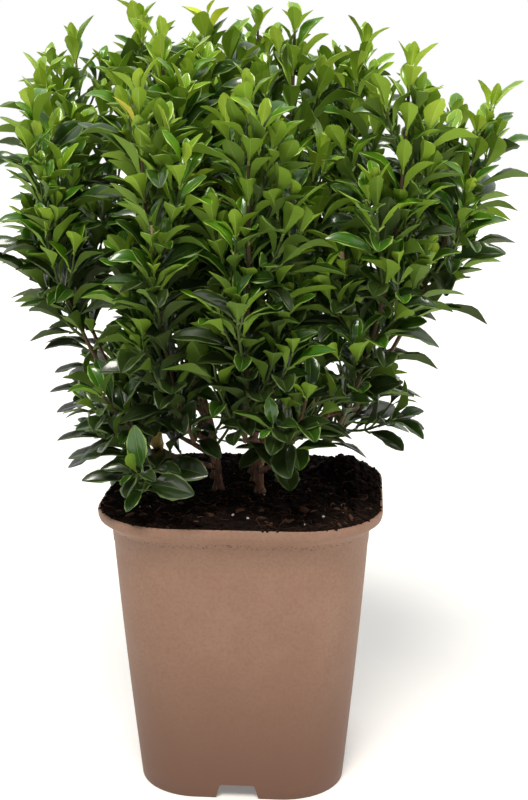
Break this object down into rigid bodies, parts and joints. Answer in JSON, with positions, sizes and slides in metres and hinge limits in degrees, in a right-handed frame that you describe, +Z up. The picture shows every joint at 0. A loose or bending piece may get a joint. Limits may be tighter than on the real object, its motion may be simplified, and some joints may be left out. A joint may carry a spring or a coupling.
{
  "type": "potted euonymus shrub",
  "caption": "Leafy evergreen shrub with upright stems and masses of small glossy leaves, growing from compost in a square tapering plastic nursery pot.",
  "frame": {"origin": "on the ground, at the middle of the flat foot under the pot", "axes": "+Z up along the pot's middle and the plant's height; -Y is the front, where the picture looks from; +X is the picture's right"},
  "size_m": [0.3143, 0.2762, 0.4406],
  "materials": {
    "pot_plastic": "matte moulded, taupe brown, a little dusty",
    "compost": "rough, near black, crumbly",
    "bark": "rough brown bark with lighter streaks",
    "foliage": "glossy dark green leaves, paler when young and underneath"
  },
  "bodies": {
    "root": {"pot": "pot_plastic", "soil": "compost", "stem_middle": "bark", "stem_1": "bark", "stem_2": "bark", "stem_3": "bark", "stem_4": "bark", "stem_5": "bark", "bough_1_left": "bark", "bough_1_right": "bark", "bough_1_low": "bark", "bough_2_left": "bark", "bough_2_right": "bark", "bough_2_low": "bark", "bough_3_left": "bark", "bough_3_right": "bark", "bough_3_low": "bark", "bough_4_left": "bark", "bough_4_right": "bark", "bough_4_low": "bark", "bough_5_left": "bark", "bough_5_right": "bark", "bough_5_low": "bark", "foliage_middle": "foliage", "foliage_1_top": "foliage", "foliage_1_left": "foliage", "foliage_1_right": "foliage", "foliage_1_low": "foliage", "foliage_2_top": "foliage", "foliage_2_left": "foliage", "foliage_2_right": "foliage", "foliage_2_low": "foliage", "foliage_3_top": "foliage", "foliage_3_left": "foliage", "foliage_3_right": "foliage", "foliage_3_low": "foliage", "foliage_4_top": "foliage", "foliage_4_left": "foliage", "foliage_4_right": "foliage", "foliage_4_low": "foliage", "foliage_5_top": "foliage", "foliage_5_left": "foliage", "foliage_5_right": "foliage", "foliage_5_low": "foliage"}
  },
  "joints": []
}
